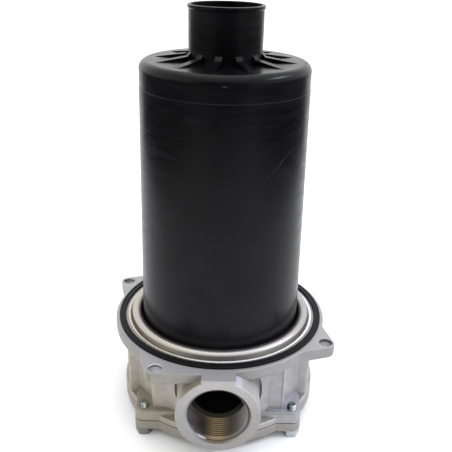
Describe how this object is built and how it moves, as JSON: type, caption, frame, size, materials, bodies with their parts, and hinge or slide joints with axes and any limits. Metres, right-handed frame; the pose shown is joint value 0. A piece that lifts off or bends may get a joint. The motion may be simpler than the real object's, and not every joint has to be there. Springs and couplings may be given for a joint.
{
  "type": "return line filter",
  "caption": "Tank-top return line filter: cast flanged head with a threaded side inlet and bolted cover, and a long plastic bowl that ends in an outlet tube.",
  "frame": {"origin": "centre of the four-hole pattern, on the face of the head that bolts to the tank", "axes": "+Z along the bowl towards the outlet tube, -Y out of the threaded inlet, +X to the right seen from the inlet"},
  "size_m": [0.1888, 0.1964, 0.3398],
  "materials": {
    "cast_aluminium": "as-cast, machined on the joint faces",
    "bowl_plastic": "satin black moulding",
    "turned_ring": "turned and polished",
    "gasket_rubber": "matt black",
    "seal_rubber": "matt black",
    "zinc_steel": "bright zinc plated",
    "element_cap_plastic": "black glass-filled plastic",
    "filter_media": "resin-bonded pleated fibre",
    "core_steel": "perforated tinned sheet",
    "spring_steel": "drawn wire"
  },
  "bodies": {
    "housing": {"filter_head": "cast_aluminium", "head_flange": "cast_aluminium", "head_rim": "cast_aluminium", "head_wall": "cast_aluminium", "cover": "cast_aluminium", "cover_o_ring": "seal_rubber", "cover_bolt_1": "zinc_steel", "cover_bolt_2": "zinc_steel", "cover_bolt_3": "zinc_steel", "cover_bolt_4": "zinc_steel", "cover_washer_1": "zinc_steel", "cover_washer_2": "zinc_steel", "cover_washer_3": "zinc_steel", "cover_washer_4": "zinc_steel", "tank_gasket": "gasket_rubber", "bowl_retaining_ring": "turned_ring", "filter_bowl": "bowl_plastic", "bowl_o_ring": "seal_rubber", "element_cover_cap": "element_cap_plastic", "element_outlet_cap": "element_cap_plastic", "pleated_media": "filter_media", "core_tube": "core_steel", "element_o_ring": "seal_rubber", "bypass_cage": "element_cap_plastic", "hold_down_spring": "spring_steel", "bypass_spring": "spring_steel"},
    "bypass_valve": {"bypass_poppet": "element_cap_plastic"}
  },
  "joints": [
    {"name": "bypass_lift", "type": "slide", "parent": "housing", "child": "bypass_valve", "axis": [0, 0, 1], "range_m": [0, 0.006], "stiffness_N_per_m": 600, "springref_m": -0.02, "deforming": ["bypass_spring"]}
  ]
}
